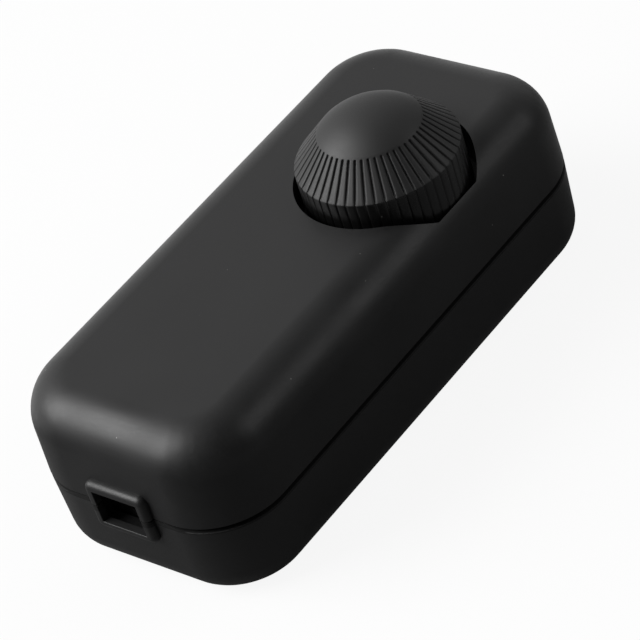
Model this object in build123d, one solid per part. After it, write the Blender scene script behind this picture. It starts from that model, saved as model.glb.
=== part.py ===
from build123d import *
from math import atan, cos, degrees, hypot, radians, sin
import os

# Inline cord dimmer: a two-part moulded housing with a thumb dial in a round well
# Frame: +X along the housing towards the dial, +Z up through the dial, origin under the middle of the base

# Margin by which a cutting body runs past what it cuts
over = 1.0

# Screw proportions, as shares of the head's height or radius and the shank's radius
head_edge = 0.25
slot_width = 0.33
cross_reach = 1.3
cross_width = 0.25
shank_point = 0.5

# Housing
length = 90.0
width = 40.8
height = 28.9
split_z = 14.1
plan_radius = 11.3
top_round = 7.0
bottom_round = 5.0
cover_draft = 0.0315
base_draft = 0.040
wall = 2.0
roof = 2.0
floor = 2.0

# Small roundings along the joint, round the dial well and at the mouths of the recesses
joint_round = 0.15
well_round = 0.08
recess_round = 0.25
outline_band = 0.06
level_band = 0.01

# Joint line between cover and base
rim_lift = 0.12
side_groove = 0.62
end_land_half = 7.6
end_land_ramp = 4.0
skin = 1.0
tongue_height = 1.5
tongue_clearance = 0.10
tongue_headroom = 0.20

# Cord entry collars, one at each end
entry_width = 8.1
entry_height = 5.8
entry_round = 0.12
entry_lip = 1.2
entry_relief = 0.9
collar_width = 11.2
collar_height = 8.6
collar_proud = 1.1
collar_corner = 1.3
collar_edge_round = 1.0

# Cord grip ribs just inside the entries
rib_thickness = 1.2
cover_rib_inset = 3.8
cover_rib_half = 4.0
cover_rib_gap = 0.4
tooth_half = 1.1
tooth_drop = 1.0
saddle_insets = (3.4, 5.4)
saddle_rise = 0.5
saddle_radius = 3.6

# Case screws, sunk in deep round recesses from below
screw_end_inset = 6.4
screw_x = length / 2 - screw_end_inset
screw_y = 8.5
recess_radius = 3.25
recess_depth = 8.0
column_wall = 1.25
column_top = split_z - 0.5
boss_radius = 3.3
case_screw_radius = 1.45
case_screw_hole = 1.65
case_head_radius = 2.7
case_head_height = 1.8
case_screw_reach = 14.0
boss_bore_extra = 0.5
thread_clearance = 0.02

# Recessed plain panel under the base
panel_length = 57.6
panel_width = 28.2
panel_depth = 0.4
panel_corner = 1.0

# Dial well in the cover, placed from the dial end and from the side nearest the dial
dial_end_inset = 29.0
dial_side_inset = 14.2
dial_x = length / 2 - dial_end_inset
dial_y = dial_side_inset - width / 2
well_radius = 13.4
well_flat = 12.55
well_depth = 5.9
well_wall = 1.4
well_floor = 1.6

# Dial
dial_radius = 12.4
dial_lift = 0.45
dial_band_top = 3.3
cone_inset = 4.7
cone_top_radius = dial_radius - cone_inset
cone_top = 8.25
dome_rise = 2.8
dial_wall = 1.6
cone_wall = 1.8
dome_wall = 2.2
hub_gap = 0.4
web_thickness = 1.2
web_count = 4
web_inset = 1.0
hub_wall = 1.9
groove_count = 52
groove_width = 0.40
groove_depth = 0.45
groove_run = 0.94

# Rotary potentiometer with its switch in one sealed can
can_radius = 8.2
can_edge = 0.4
bushing_wall = 0.45
bushing_proud = 4.2
shaft_radius = 3.0
shaft_clearance = 0.05
shaft_socket = 3.4
shaft_end_gap = 0.1
shaft_flat_depth = 1.4
shaft_flat_drop = 0.6
shaft_top_wall = 3.0
hub_fit = 0.02
washer_rim = 2.25
washer_height = 0.5
nut_wall = 1.5
nut_height = 2.2
ring_clearance = 0.05
can_pin_radius = 0.5
can_pin_pitch = 5.0

# Circuit board on four posts
board_z = 7.5
board_thickness = 1.6
board_near_inset = 20.0
board_far_inset = 19.0
board_side_gap = 1.9
board_x0 = board_near_inset - length / 2
board_x1 = length / 2 - board_far_inset
board_half = width / 2 - wall - board_side_gap
board_corner = 2.0
post_radius = 2.4
posts = [
    (board_x0 + 3.0, 3.2 - board_half),
    (board_x0 + 3.0, board_half - 3.2),
    (board_x1 - 2.8, 2.3 - board_half),
    (board_x1 - 2.0, board_half - 1.9),
]
screwed_posts = posts[:3]
board_screw_radius = 1.1
board_screw_hole = 1.25
board_screw_reach = 4.2
board_head_radius = 1.9
board_head_height = 1.3

# Leads of the parts on the board
lead_radius = 0.35
lead_clearance = 0.12
lead_below = 1.2
lead_overlap = 0.3

# Cord clamps
clamp_end_inset = 15.0
clamp_x = length / 2 - clamp_end_inset
clamp_screw_y = 8.6
clamp_length = 5.0
clamp_corner = 1.0
clamp_half = 11.2
clamp_thickness = 2.6
clamp_bore = 3.4
clamp_arch_wall = 2.2
pillar_radius = 2.6
pillar_top = 12.0
clamp_screw_radius = 1.25
clamp_screw_hole = 1.45
clamp_screw_reach = 6.5
clamp_head_radius = 2.3
clamp_head_height = 1.6
clamp_saddle_top = 9.6

# Terminal blocks
block_length = 8.0
block_width = 13.0
block_height = 10.0
pole_pitch = 6.4
input_block_inset = 4.5
output_block_inset = 5.5
output_block_margin = 0.4
input_block = (board_x0 + input_block_inset, 0.0)
output_block = (board_x1 - output_block_inset, board_half - output_block_margin - block_width / 2)
cage_side = 4.2
cage_height = 4.4
cage_lift = 1.5
cage_clearance = 0.1
wire_radius = 1.5
terminal_screw_radius = 1.25
terminal_screw_length = 3.6
terminal_head_radius = 1.9
terminal_head_height = 1.8
terminal_head_clearance = 0.15
block_pin_radius = 0.6

# Triac on its heat sink
triac_x = -6.0
sink_side_inset = 6.2
sink_face_y = width / 2 - sink_side_inset
sink_thickness = 1.5
sink_width = 20.0
sink_height = 16.9
sink_tab_x = 7.0
sink_tab_width = 2.0
triac_width = 10.0
triac_depth = 4.5
triac_body = 9.2
triac_total = 15.2
triac_lift = 1.6
triac_tab = 1.3
triac_hole_drop = 2.8
triac_hole = 1.85
triac_lead_y = 2.6
triac_lead_pitch = 2.54
sink_screw_radius = 1.5
sink_head_radius = 2.75
sink_head_height = 2.0

# Suppression choke
choke_x = -4.5
choke_gap = 0.75
choke_core_outer = 5.8
choke_core_inner = 2.9
choke_core_height = 5.4
choke_wire = 0.9
choke_fit = 0.05
choke_turn_arc = 300
choke_lead_angle = 2

# Capacitors
film_cap_x = -5.0
film_cap_gap = 0.6
film_cap_size = (18.0, 5.5, 12.0)
film_cap_pitch = 15.0
timing_cap_x = 5.7
timing_cap_step = 0.7
timing_cap_size = (2.5, 7.2, 6.5)
timing_cap_pitch = 5.0
cap_edge = 0.5

# Diac and resistors, lying on the board along X
axial_x = 10.0
diac_y = 4.6
diac_radius = 1.0
diac_length = 4.2
resistor_rows = [7.6, 10.8, 14.0]
resistor_radius = 1.2
resistor_length = 6.3
axial_pitch = 9.0
axial_lift = 0.05
axial_edge = 0.33

# Fuse in its two clips
fuse_x = -4.0
fuse_side_inset = 2.9
fuse_radius = 2.5
fuse_length = 20.0
fuse_cap = 5.0
fuse_cap_step = 0.1
fuse_lift = 3.4
clip_length = 4.0
clip_wall = 0.4
clip_gap = 0.03
clip_mouth = 3.4

# Heights and places that follow from the sizes above
board_top = board_z + board_thickness
bushing_radius = shaft_radius + shaft_clearance + bushing_wall
washer_radius = bushing_radius + washer_rim
nut_flats = 2 * (bushing_radius + nut_wall)
hub_radius = shaft_radius + hub_wall
shaft_flat = shaft_radius - shaft_flat_depth
film_cap_at = (film_cap_x, sink_face_y - triac_depth - film_cap_gap - film_cap_size[1] / 2)
choke_reach = choke_core_outer + choke_fit + choke_wire
choke_at = (choke_x, film_cap_at[1] - film_cap_size[1] / 2 - choke_gap - choke_reach)
timing_cap_at = (timing_cap_x, dial_y + timing_cap_step)
fuse_at = (fuse_x, fuse_side_inset - board_half)
well_floor_top = height - well_depth
well_floor_under = well_floor_top - well_floor
cover_rim = split_z + rim_lift
bushing_top = well_floor_top + bushing_proud
hub_bottom = bushing_top + hub_gap
dial_bottom = well_floor_top + dial_lift
band_top = height + dial_band_top
dome_base = height + cone_top
dome_top = dome_base + dome_rise
shaft_top = dome_top - shaft_top_wall
entry_bottom = split_z - entry_height / 2
entry_top = split_z + entry_height / 2
ends = (-1, 1)
case_screws_at = [(sx * screw_x, sy * screw_y) for sx in ends for sy in ends]


def rod(x, y, z0, z1, radius):
    """Upright round solid between two heights."""
    return Pos(x, y, (z0 + z1) / 2) * Cylinder(radius, z1 - z0)


def block(x0, x1, y0, y1, z0, z1):
    """Box between two corners."""
    return Pos((x0 + x1) / 2, (y0 + y1) / 2, (z0 + z1) / 2) * Box(x1 - x0, y1 - y0, z1 - z0)


def slab(inset, z0, z1):
    """Upright prism of the housing's plan outline, drawn in by inset."""
    outline = RectangleRounded(length - 2 * inset, width - 2 * inset, plan_radius - inset)
    return Pos(0, 0, z0) * extrude(outline, z1 - z0)


def half_form(inset, rise, draft, edge_round):
    """One half of the housing above its widest outline, with a rounded far edge."""
    outline = RectangleRounded(length - 2 * inset, width - 2 * inset, plan_radius - inset)
    form = extrude(outline, rise, taper=degrees(atan(draft)))
    return fillet(form.edges().group_by(Axis.Z)[-1], edge_round)


def cover_form(inset, crown):
    """Space inside the cover's surface, drawn in by inset at the sides and crown at the top."""
    rise = height - crown - split_z
    return Pos(0, 0, split_z) * half_form(inset, rise, cover_draft, top_round - max(inset, crown))


def base_form(inset, sole):
    """Space inside the base's surface, drawn in by inset at the sides and sole underneath."""
    form = half_form(inset, split_z - sole, base_draft, bottom_round - max(inset, sole))
    return Pos(0, 0, split_z) * Rot(180, 0, 0) * form


def outline_edges(shape, z):
    """Edges of shape at one height that follow the housing's outline."""
    inner = slab(outline_band, z - over, z + over)
    outer = slab(-outline_band, z - over, z + over)
    level = [edge for edge in shape.edges() if abs((edge @ 0).Z - z) < level_band]
    level = [edge for edge in level if abs((edge @ 0.5).Z - z) < level_band]
    return [edge for edge in level if outer.is_inside(edge @ 0.5) and not inner.is_inside(edge @ 0.5)]


def cut_rounded(shape, tool, far, radius):
    """Shape with tool cut out of it and the hole's mouth rounded; far is the height of its bottom."""
    cut = shape - tool
    mouth = [
        edge
        for edge in new_edges(shape, combined=cut)
        if all(abs((edge @ share).Z - far) > level_band for share in (0, 0.5, 1))
    ]
    return fillet(mouth, radius)


def collars():
    """Rounded blocks that stand proud of both ends around the cord entries."""
    outline = RectangleRounded(collar_width, collar_height, collar_corner)
    tip = length / 2 + collar_proud
    collar = extrude(Plane.YZ * outline, wall + collar_proud)
    collar = fillet(collar.edges().group_by(Axis.X)[-1], collar_edge_round)
    collar -= Box(4 * wall, entry_width, entry_height)
    mouth = collar.faces().sort_by(Axis.X)[-1].inner_wires()[0]
    collar = fillet(mouth.edges(), entry_round)
    collar = Pos(tip - wall - collar_proud, 0, split_z) * collar
    return collar + Rot(0, 0, 180) * collar


def entries():
    """The rectangular cord passage through both end walls, wider behind its lip."""
    x0 = length / 2 - wall - base_draft * split_z
    x1 = length / 2 + 2 * collar_proud
    lip = length / 2 + collar_proud - entry_lip
    half = entry_width / 2 + entry_relief
    one = block(x0, x1, -entry_width / 2, entry_width / 2, entry_bottom, entry_top)
    one += block(x0, lip, -half, half, entry_bottom - entry_relief, entry_top + entry_relief)
    return one + Rot(0, 0, 180) * one


def cover_ribs():
    """Ribs that hang from the roof over each cord entry, with one tooth that bites the cord."""
    ribs = []
    for end in ends:
        x = end * (length / 2 - cover_rib_inset)
        x0 = x - rib_thickness / 2
        x1 = x + rib_thickness / 2
        foot = entry_top + cover_rib_gap
        ribs.append(block(x0, x1, -cover_rib_half, cover_rib_half, foot, height))
        ribs.append(block(x0, x1, -tooth_half, tooth_half, foot - tooth_drop, height))
    return ribs


def base_saddles():
    """Hollowed ribs on the floor that the cord lies in, two at each entry."""
    ribs = []
    for end in ends:
        for inset in saddle_insets:
            x = end * (length / 2 - inset)
            rib = block(
                x - rib_thickness / 2,
                x + rib_thickness / 2,
                -entry_width / 2,
                entry_width / 2,
                0,
                entry_bottom + saddle_rise,
            )
            hollow = Pos(x, 0, split_z) * Rot(0, 90, 0) * Cylinder(saddle_radius, 2 * rib_thickness)
            ribs.append(rib - hollow)
    return ribs


def well():
    """Space of the dial well: round, with one flat where the side wall comes close."""
    space = rod(dial_x, dial_y, well_floor_top, dome_top, well_radius)
    edge = dial_y - well_flat
    return space - block(
        dial_x - well_radius,
        dial_x + well_radius,
        edge - well_radius,
        edge,
        well_floor_top - over,
        dome_top + over,
    )


def top_cover():
    """Upper housing shell with the dial well, screw bosses and cord ribs."""
    outer = cut_rounded(cover_form(0, 0), well(), well_floor_top, well_round)
    shell = outer - cover_form(wall, roof)
    inside = [rod(dial_x, dial_y, well_floor_under, height, well_radius + well_wall)]
    inside += cover_ribs()
    inside += [rod(x, y, column_top, height, boss_radius) for x, y in case_screws_at]
    below_split = slab(wall + over, column_top, split_z)
    allowed = outer + below_split
    cover = shell + [piece & allowed for piece in inside]
    cover += collars() & block(-length, length, -width, width, split_z, height)
    rim_drop = slab(-collar_proud, split_z, cover_rim) + collars()
    rim_drop &= block(-length, length, -width, width, split_z, cover_rim)
    keep = [rod(x, y, column_top, cover_rim, boss_radius) for x, y in case_screws_at]
    cover -= rim_drop - keep
    rebate = slab(skin, split_z, split_z + tongue_height + tongue_headroom)
    rebate -= slab(wall, split_z, split_z + tongue_height + tongue_headroom)
    cover -= rebate
    cover -= entries()
    cover -= rod(dial_x, dial_y, well_floor_under - over, height, bushing_radius + ring_clearance)
    bore_top = recess_depth + case_screw_reach + boss_bore_extra
    for x, y in case_screws_at:
        cover -= rod(x, y, column_top - over, bore_top, case_screw_radius + thread_clearance)
    return fillet(outline_edges(cover, cover_rim), joint_round)


def base_posts():
    """Board posts, clamp pillars and clamp saddles that rise from the floor."""
    pieces = [rod(x, y, 0, board_z, post_radius) for x, y in posts]
    for end in ends:
        x = end * clamp_x
        pieces += [rod(x, side * clamp_screw_y, 0, pillar_top, pillar_radius) for side in ends]
        saddle = block(
            x - rib_thickness,
            x + rib_thickness,
            -clamp_screw_y,
            clamp_screw_y,
            0,
            clamp_saddle_top,
        )
        hollow = Pos(x, 0, clamp_saddle_top + clamp_bore / 2) * Rot(0, 90, 0)
        pieces.append(saddle - hollow * Cylinder(clamp_bore, 4 * rib_thickness))
    return pieces


def end_land():
    """Form that closes the gap along the joint at both ends, ramped so that the gap fades in."""
    foot = split_z - side_groove - joint_round
    ramp_end = end_land_half + end_land_ramp
    outline = Polyline(
        (-ramp_end, foot),
        (-end_land_half, split_z),
        (end_land_half, split_z),
        (ramp_end, foot),
        close=True,
    )
    return extrude(Plane.YZ * make_face(outline), length, both=True)


def base_shell():
    """Lower housing shell with its tongue, screw columns, posts and saddles."""
    outer = base_form(0, 0)
    for x, y in case_screws_at:
        outer = cut_rounded(outer, rod(x, y, 0, recess_depth, recess_radius), recess_depth, recess_round)
    walls = outer - base_form(wall, floor)
    ledge = split_z - side_groove
    gap = slab(-over, ledge, split_z) - slab(skin + tongue_clearance, ledge, split_z)
    base = walls - gap
    base = fillet(outline_edges(base, ledge), joint_round)
    base += end_land() & walls
    tongue_top = split_z + tongue_height
    base += slab(skin + tongue_clearance, split_z, tongue_top) - slab(wall, split_z, tongue_top)
    inside = [rod(x, y, 0, column_top, recess_radius + column_wall) for x, y in case_screws_at]
    inside += base_posts()
    inside += base_saddles()
    base += [piece & outer for piece in inside]
    base += collars() & block(-length, length, -width, width, 0, split_z)
    base -= entries()
    for x, y in case_screws_at:
        base -= rod(x, y, 0, column_top, case_screw_hole)
    for x, y in screwed_posts:
        bottom = board_top - board_screw_reach - board_screw_radius
        base -= rod(x, y, bottom, board_top, board_screw_radius + thread_clearance)
    for end in ends:
        for side in ends:
            x = end * clamp_x
            y = side * clamp_screw_y
            bottom = pillar_top - clamp_screw_reach - clamp_screw_radius
            base -= rod(x, y, bottom, pillar_top, clamp_screw_radius + thread_clearance)
    panel = extrude(RectangleRounded(panel_length, panel_width, panel_corner), panel_depth)
    return base - panel


def shaft_form(extra, z0, z1):
    """Round shaft with a flat on its upper end, grown by extra all round."""
    form = rod(dial_x, dial_y, z0, z1, shaft_radius + extra)
    flat = dial_y + shaft_flat + extra
    return form - block(
        dial_x - well_radius,
        dial_x + well_radius,
        flat,
        flat + well_radius,
        hub_bottom + shaft_flat_drop,
        z1 + over,
    )


def dial_grooves():
    """Narrow grip grooves that run up the band and over the cone to the dome."""
    run_r = cone_top_radius - dial_radius
    run_z = dome_base - band_top
    run = hypot(run_r, run_z)
    out_r = run_z / run
    out_z = -run_r / run
    root_r = dial_radius - groove_depth * out_r
    root_z = band_top - groove_depth * out_z
    band_root = dial_radius - groove_depth
    bend = (band_root - root_r) / run_r
    end_r = root_r + groove_run * run_r
    end_z = root_z + groove_run * run_z
    clear = 3 * groove_depth
    profile = Polyline(
        (band_root, dial_bottom - clear),
        (band_root, root_z + bend * run_z),
        (end_r, end_z),
        (end_r + clear * out_r, end_z + clear * out_z),
        (dial_radius + clear, band_top + clear),
        (dial_radius + clear, dial_bottom - clear),
        close=True,
    )
    one = extrude(Plane.XZ * make_face(profile), groove_width / 2, both=True)
    return [place * one for place in PolarLocations(0, groove_count)]


def inner_cone(inner):
    """Upper and lower end of the hollow cone inside the dial, as radius and height."""
    run_r = cone_top_radius - dial_radius
    run_z = dome_base - band_top
    run = hypot(run_r, run_z)
    start_r = dial_radius - cone_wall * run_z / run
    start_z = band_top + cone_wall * run_r / run
    upper_z = dome_base + dome_rise / 2 - dome_wall
    upper_r = start_r + (upper_z - start_z) * run_r / run_z
    lower_z = start_z + (inner - start_r) * run_z / run_r
    return (upper_r, upper_z), (inner, lower_z)


def dial_knob():
    """Hollow dial: ribbed band and cone, smooth domed cap, hub for the shaft."""
    dome_radius = (cone_top_radius**2 + dome_rise**2) / (2 * dome_rise)
    middle_r = cone_top_radius / 2
    middle_z = dome_top - dome_radius + (dome_radius**2 - middle_r**2) ** 0.5
    inner = dial_radius - dial_wall
    (ceiling_r, ceiling), (bend_r, bend) = inner_cone(inner)
    below = Polyline(
        (0, dome_top),
        (0, hub_bottom),
        (hub_radius, hub_bottom),
        (hub_radius, ceiling),
        (ceiling_r, ceiling),
        (bend_r, bend),
        (inner, dial_bottom),
        (dial_radius, dial_bottom),
        (dial_radius, band_top),
        (cone_top_radius, dome_base),
    )
    dome = ThreePointArc((cone_top_radius, dome_base), (middle_r, middle_z), (0, dome_top))
    knob = revolve(Plane.XZ * make_face([below, dome]), Axis.Z)
    knob -= dial_grooves()
    web = Polyline(
        (hub_radius - web_inset, hub_bottom + web_inset),
        (inner + dial_wall / 2, hub_bottom + web_inset),
        (inner + dial_wall / 2, bend),
        (ceiling_r, ceiling + web_inset),
        (hub_radius - web_inset, ceiling + web_inset),
        close=True,
    )
    web = extrude(Plane.XZ * make_face(web), web_thickness / 2, both=True)
    knob += [place * web for place in PolarLocations(0, web_count)]
    return Pos(dial_x, dial_y, 0) * knob - shaft_form(hub_fit, hub_bottom - over, shaft_top)


def potentiometer_can():
    """Sealed can of the potentiometer and switch, with its threaded bushing and pins."""
    can = rod(dial_x, dial_y, board_top, well_floor_under, can_radius)
    can = chamfer(can.edges().group_by(Axis.Z)[-1], can_edge)
    can += rod(dial_x, dial_y, well_floor_under, bushing_top, bushing_radius)
    socket_bottom = well_floor_under - shaft_socket - shaft_end_gap
    can -= rod(dial_x, dial_y, socket_bottom, bushing_top, shaft_radius + shaft_clearance)
    return can + leads(can_pins(), can_pin_radius)


def potentiometer_shaft():
    """Turned shaft that the dial is pressed on."""
    return shaft_form(0, well_floor_under - shaft_socket, shaft_top - shaft_end_gap)


def potentiometer_washer():
    """Flat washer between the well floor and the nut."""
    disc = rod(dial_x, dial_y, well_floor_top, well_floor_top + washer_height, washer_radius)
    return disc - rod(dial_x, dial_y, well_floor_top, bushing_top, bushing_radius + ring_clearance)


def potentiometer_nut():
    """Thin hexagon nut that holds the potentiometer in the well floor."""
    bottom = well_floor_top + washer_height
    body = extrude(RegularPolygon(nut_flats / 2, 6, major_radius=False), nut_height)
    body = Pos(dial_x, dial_y, bottom) * body
    return body - rod(dial_x, dial_y, bottom, bushing_top, bushing_radius + ring_clearance)


def leads(points, radius):
    """Straight leads that pass down through the board."""
    return [rod(x, y, board_z - lead_below, board_top + lead_overlap, radius) for x, y in points]


def can_pins():
    """Places of the potentiometer's five pins."""
    row = [(dial_x + k * can_pin_pitch, dial_y - can_pin_pitch) for k in (-1, 0, 1)]
    return row + [(dial_x + k * can_pin_pitch / 2, dial_y + can_pin_pitch) for k in ends]


def pole_places(centre):
    """Centres of the two poles of a terminal block."""
    return [(centre[0], centre[1] + side * pole_pitch / 2) for side in ends]


def triac_leads():
    """Places of the triac's three leads."""
    return [(triac_x + k * triac_lead_pitch, sink_face_y - triac_lead_y) for k in (-1, 0, 1)]


def pair(centre, pitch, along_x):
    """Two lead places either side of a part."""
    step = pitch / 2
    if along_x:
        return [(centre[0] - step, centre[1]), (centre[0] + step, centre[1])]
    return [(centre[0], centre[1] - step), (centre[0], centre[1] + step)]


def choke_leads():
    """Places of the choke's two wire ends, in the gap of the winding."""
    reach = choke_core_outer + choke_wire / 2
    gap = (360 - choke_turn_arc) / 2 + choke_lead_angle
    angles = [radians(180 + k * gap) for k in ends]
    return [(choke_at[0] + reach * cos(a), choke_at[1] + reach * sin(a)) for a in angles]


def clip_places():
    """Centres of the two fuse clips."""
    step = (fuse_length - fuse_cap) / 2
    return [(fuse_at[0] - step, fuse_at[1]), (fuse_at[0] + step, fuse_at[1])]


def circuit_board():
    """Drilled board that carries the parts."""
    outline = RectangleRounded(board_x1 - board_x0, 2 * board_half, board_corner)
    board = Pos((board_x0 + board_x1) / 2, 0, board_z) * extrude(outline, board_thickness)
    drilled = [(place, can_pin_radius) for place in can_pins()]
    drilled += [(place, lead_radius) for place in triac_leads() + choke_leads()]
    drilled += [(place, lead_radius) for place in pair(film_cap_at, film_cap_pitch, True)]
    drilled += [(place, lead_radius) for place in pair(timing_cap_at, timing_cap_pitch, False)]
    for y in [diac_y] + resistor_rows:
        drilled += [(place, lead_radius) for place in pair((axial_x, y), axial_pitch, True)]
    for centre in (input_block, output_block):
        drilled += [(place, block_pin_radius) for place in pole_places(centre)]
    drilled += [(place, block_pin_radius) for place in clip_places()]
    for (x, y), radius in drilled:
        board -= rod(x, y, board_z, board_top, radius + lead_clearance)
    for x, y in screwed_posts:
        board -= rod(x, y, board_z, board_top, board_screw_hole)
    for side in ends:
        board -= sink_tab(side, lead_clearance)
    return board


def sink_tab(side, extra):
    """Tab of the heat sink that passes through the board."""
    x = triac_x + side * sink_tab_x
    return block(
        x - sink_tab_width / 2 - extra,
        x + sink_tab_width / 2 + extra,
        sink_face_y - extra,
        sink_face_y + sink_thickness + extra,
        board_z - lead_below,
        board_top,
    )


def heat_sink():
    """Aluminium plate that stands on the board behind the triac."""
    plate = block(
        triac_x - sink_width / 2,
        triac_x + sink_width / 2,
        sink_face_y,
        sink_face_y + sink_thickness,
        board_top,
        board_top + sink_height,
    )
    plate += [sink_tab(side, 0) for side in ends]
    hole = Cylinder(sink_screw_radius + thread_clearance, 4 * sink_thickness)
    return plate - Pos(triac_x, sink_face_y, triac_hole_z()) * Rot(90, 0, 0) * hole


def triac_hole_z():
    """Height of the hole in the triac's tab."""
    return board_top + triac_lift + triac_total - triac_hole_drop


def triac():
    """Power switch in a moulded case with a metal tab, back against the heat sink."""
    x0 = triac_x - triac_width / 2
    x1 = triac_x + triac_width / 2
    z0 = board_top + triac_lift
    case = block(x0, x1, sink_face_y - triac_depth, sink_face_y, z0, z0 + triac_body)
    tab = block(x0, x1, sink_face_y - triac_tab, sink_face_y, z0, z0 + triac_total)
    hole = Pos(triac_x, sink_face_y, triac_hole_z()) * Rot(90, 0, 0) * Cylinder(triac_hole, triac_depth)
    legs = [rod(x, y, board_z - lead_below, z0 + lead_overlap, lead_radius) for x, y in triac_leads()]
    return case + tab - hole + legs


def slotted_screw(head_radius, head_height, radius, reach):
    """Slotted screw on the Z axis, head underside at the origin and shank downwards."""
    head = Pos(0, 0, head_height / 2) * Cylinder(head_radius, head_height)
    head = chamfer(head.edges().group_by(Axis.Z)[-1], head_height * head_edge)
    slot = Pos(0, 0, head_height) * Box(3 * head_radius, head_radius * slot_width, head_height)
    shank = Pos(0, 0, -reach / 2) * Cylinder(radius, reach)
    shank = chamfer(shank.edges().group_by(Axis.Z)[0], radius * shank_point)
    return head - slot + shank


def cross_screw(head_radius, head_height, radius, reach):
    """Cross-recessed screw on the Z axis, head underside at the origin and shank downwards."""
    head = Pos(0, 0, head_height / 2) * Cylinder(head_radius, head_height)
    head = fillet(head.edges().group_by(Axis.Z)[-1], head_height * head_edge)
    bar = Box(cross_reach * head_radius, cross_width * head_radius, head_height)
    cross = Pos(0, 0, head_height) * (bar + Rot(0, 0, 90) * bar)
    shank = Pos(0, 0, -reach / 2) * Cylinder(radius, reach)
    shank = chamfer(shank.edges().group_by(Axis.Z)[0], radius * shank_point)
    return head - cross + shank


def heat_sink_screw():
    """Screw that clamps the triac's tab to the heat sink."""
    screw = cross_screw(sink_head_radius, sink_head_height, sink_screw_radius, triac_tab + sink_thickness)
    return Pos(triac_x, sink_face_y - triac_tab, triac_hole_z()) * Rot(90, 0, 0) * screw


def board_screws():
    """Three screws that hold the board on its posts."""
    screw = cross_screw(board_head_radius, board_head_height, board_screw_radius, board_screw_reach)
    return [Pos(x, y, board_top) * screw for x, y in screwed_posts]


def case_screws():
    """Four screws that pull cover and base together from below."""
    screw = cross_screw(case_head_radius, case_head_height, case_screw_radius, case_screw_reach)
    return [Pos(x, y, recess_depth) * Rot(180, 0, 0) * screw for x, y in case_screws_at]


def cord_clamp(end):
    """Arched clamp bar over the cord, on two pillars."""
    x = end * clamp_x
    bar = block(
        x - clamp_length / 2,
        x + clamp_length / 2,
        -clamp_half,
        clamp_half,
        pillar_top,
        pillar_top + clamp_thickness,
    )
    bar = fillet(bar.edges().filter_by(Axis.Z), clamp_corner)
    along = Pos(x, 0, pillar_top) * Rot(0, 90, 0)
    bar += along * Cylinder(clamp_bore + clamp_arch_wall, clamp_length)
    bar -= along * Cylinder(clamp_bore, 2 * clamp_length)
    bar -= block(x - clamp_length, x + clamp_length, -clamp_half, clamp_half, 0, pillar_top)
    for side in ends:
        y = side * clamp_screw_y
        bar -= rod(x, y, pillar_top, pillar_top + clamp_thickness, clamp_screw_hole)
    return bar


def cord_clamp_screws():
    """Four screws that draw the two clamp bars down."""
    reach = clamp_screw_reach + clamp_thickness
    screw = cross_screw(clamp_head_radius, clamp_head_height, clamp_screw_radius, reach)
    seat = pillar_top + clamp_thickness
    return [Pos(sx * clamp_x, sy * clamp_screw_y, seat) * screw for sx in ends for sy in ends]


def cage_form(x, y, extra):
    """Outer form of one terminal cage, grown by extra."""
    half = cage_side / 2 + extra
    bottom = board_top + cage_lift - extra
    return block(x - half, x + half, y - half, y + half, bottom, bottom + cage_height + 2 * extra)


def wire_bore(x, y, outward):
    """Passage for a wire through a terminal, from the outward side to its cage."""
    z = board_top + cage_lift + cage_height / 2
    reach = block_length / 2 + cage_side / 2
    middle = x + outward * (block_length - reach) / 2
    return Pos(middle, y, z) * Rot(0, 90, 0) * Cylinder(wire_radius, reach)


def terminal_block(centre, outward):
    """Two-pole terminal block, open to the cord side and from above."""
    x, y = centre
    body = block(
        x - block_length / 2,
        x + block_length / 2,
        y - block_width / 2,
        y + block_width / 2,
        board_top,
        board_top + block_height,
    )
    body = chamfer(body.edges().group_by(Axis.Z)[-1], cap_edge)
    for px, py in pole_places(centre):
        body -= cage_form(px, py, cage_clearance)
        body -= rod(px, py, board_top, board_top + cage_lift, block_pin_radius + lead_clearance)
        body -= wire_bore(px, py, outward)
        seat = board_top + cage_lift + cage_height
        radius = terminal_head_radius + terminal_head_clearance
        body -= rod(px, py, seat, board_top + block_height, radius)
    return body


def terminal_cages():
    """Brass cages that grip the wires, each with its solder pin."""
    cages = []
    for centre, outward in ((input_block, -1), (output_block, 1)):
        for x, y in pole_places(centre):
            cage = cage_form(x, y, 0) - wire_bore(x, y, outward)
            top = board_top + cage_lift + cage_height
            cage -= rod(x, y, top - terminal_screw_length, top, terminal_screw_radius + thread_clearance)
            cage += rod(x, y, board_z - lead_below, board_top + cage_lift, block_pin_radius)
            cages.append(cage)
    return cages


def terminal_screws():
    """Slotted screws of the four terminals."""
    screw = slotted_screw(
        terminal_head_radius,
        terminal_head_height,
        terminal_screw_radius,
        terminal_screw_length - terminal_screw_radius / 2,
    )
    seat = board_top + cage_lift + cage_height + terminal_head_clearance
    places = pole_places(input_block) + pole_places(output_block)
    return [Pos(x, y, seat) * screw for x, y in places]


def choke_core():
    """Ferrite ring of the suppression choke."""
    bottom = board_top + choke_wire + choke_fit
    ring = rod(*choke_at, bottom, bottom + choke_core_height, choke_core_outer)
    return ring - rod(*choke_at, bottom, bottom + choke_core_height, choke_core_inner)


def choke_winding():
    """Wire wound closely round the ring over most of its turn, with its two ends."""
    middle = (choke_core_outer + choke_core_inner) / 2
    breadth = choke_core_outer - choke_core_inner
    z = board_top + choke_wire + choke_fit + choke_core_height / 2
    inside = (breadth + 2 * choke_fit, choke_core_height + 2 * choke_fit)
    inner = Rectangle(*inside)
    outer = fillet(Rectangle(*[side + 2 * choke_wire for side in inside]).vertices(), choke_wire)
    section = Plane.XZ * (Pos(middle, z) * (outer - inner))
    start = 180 + (360 - choke_turn_arc) / 2
    coil = revolve(section, Axis.Z, revolution_arc=choke_turn_arc)
    coil = Pos(*choke_at, 0) * Rot(0, 0, start) * coil
    return coil + leads(choke_leads(), lead_radius)


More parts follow.
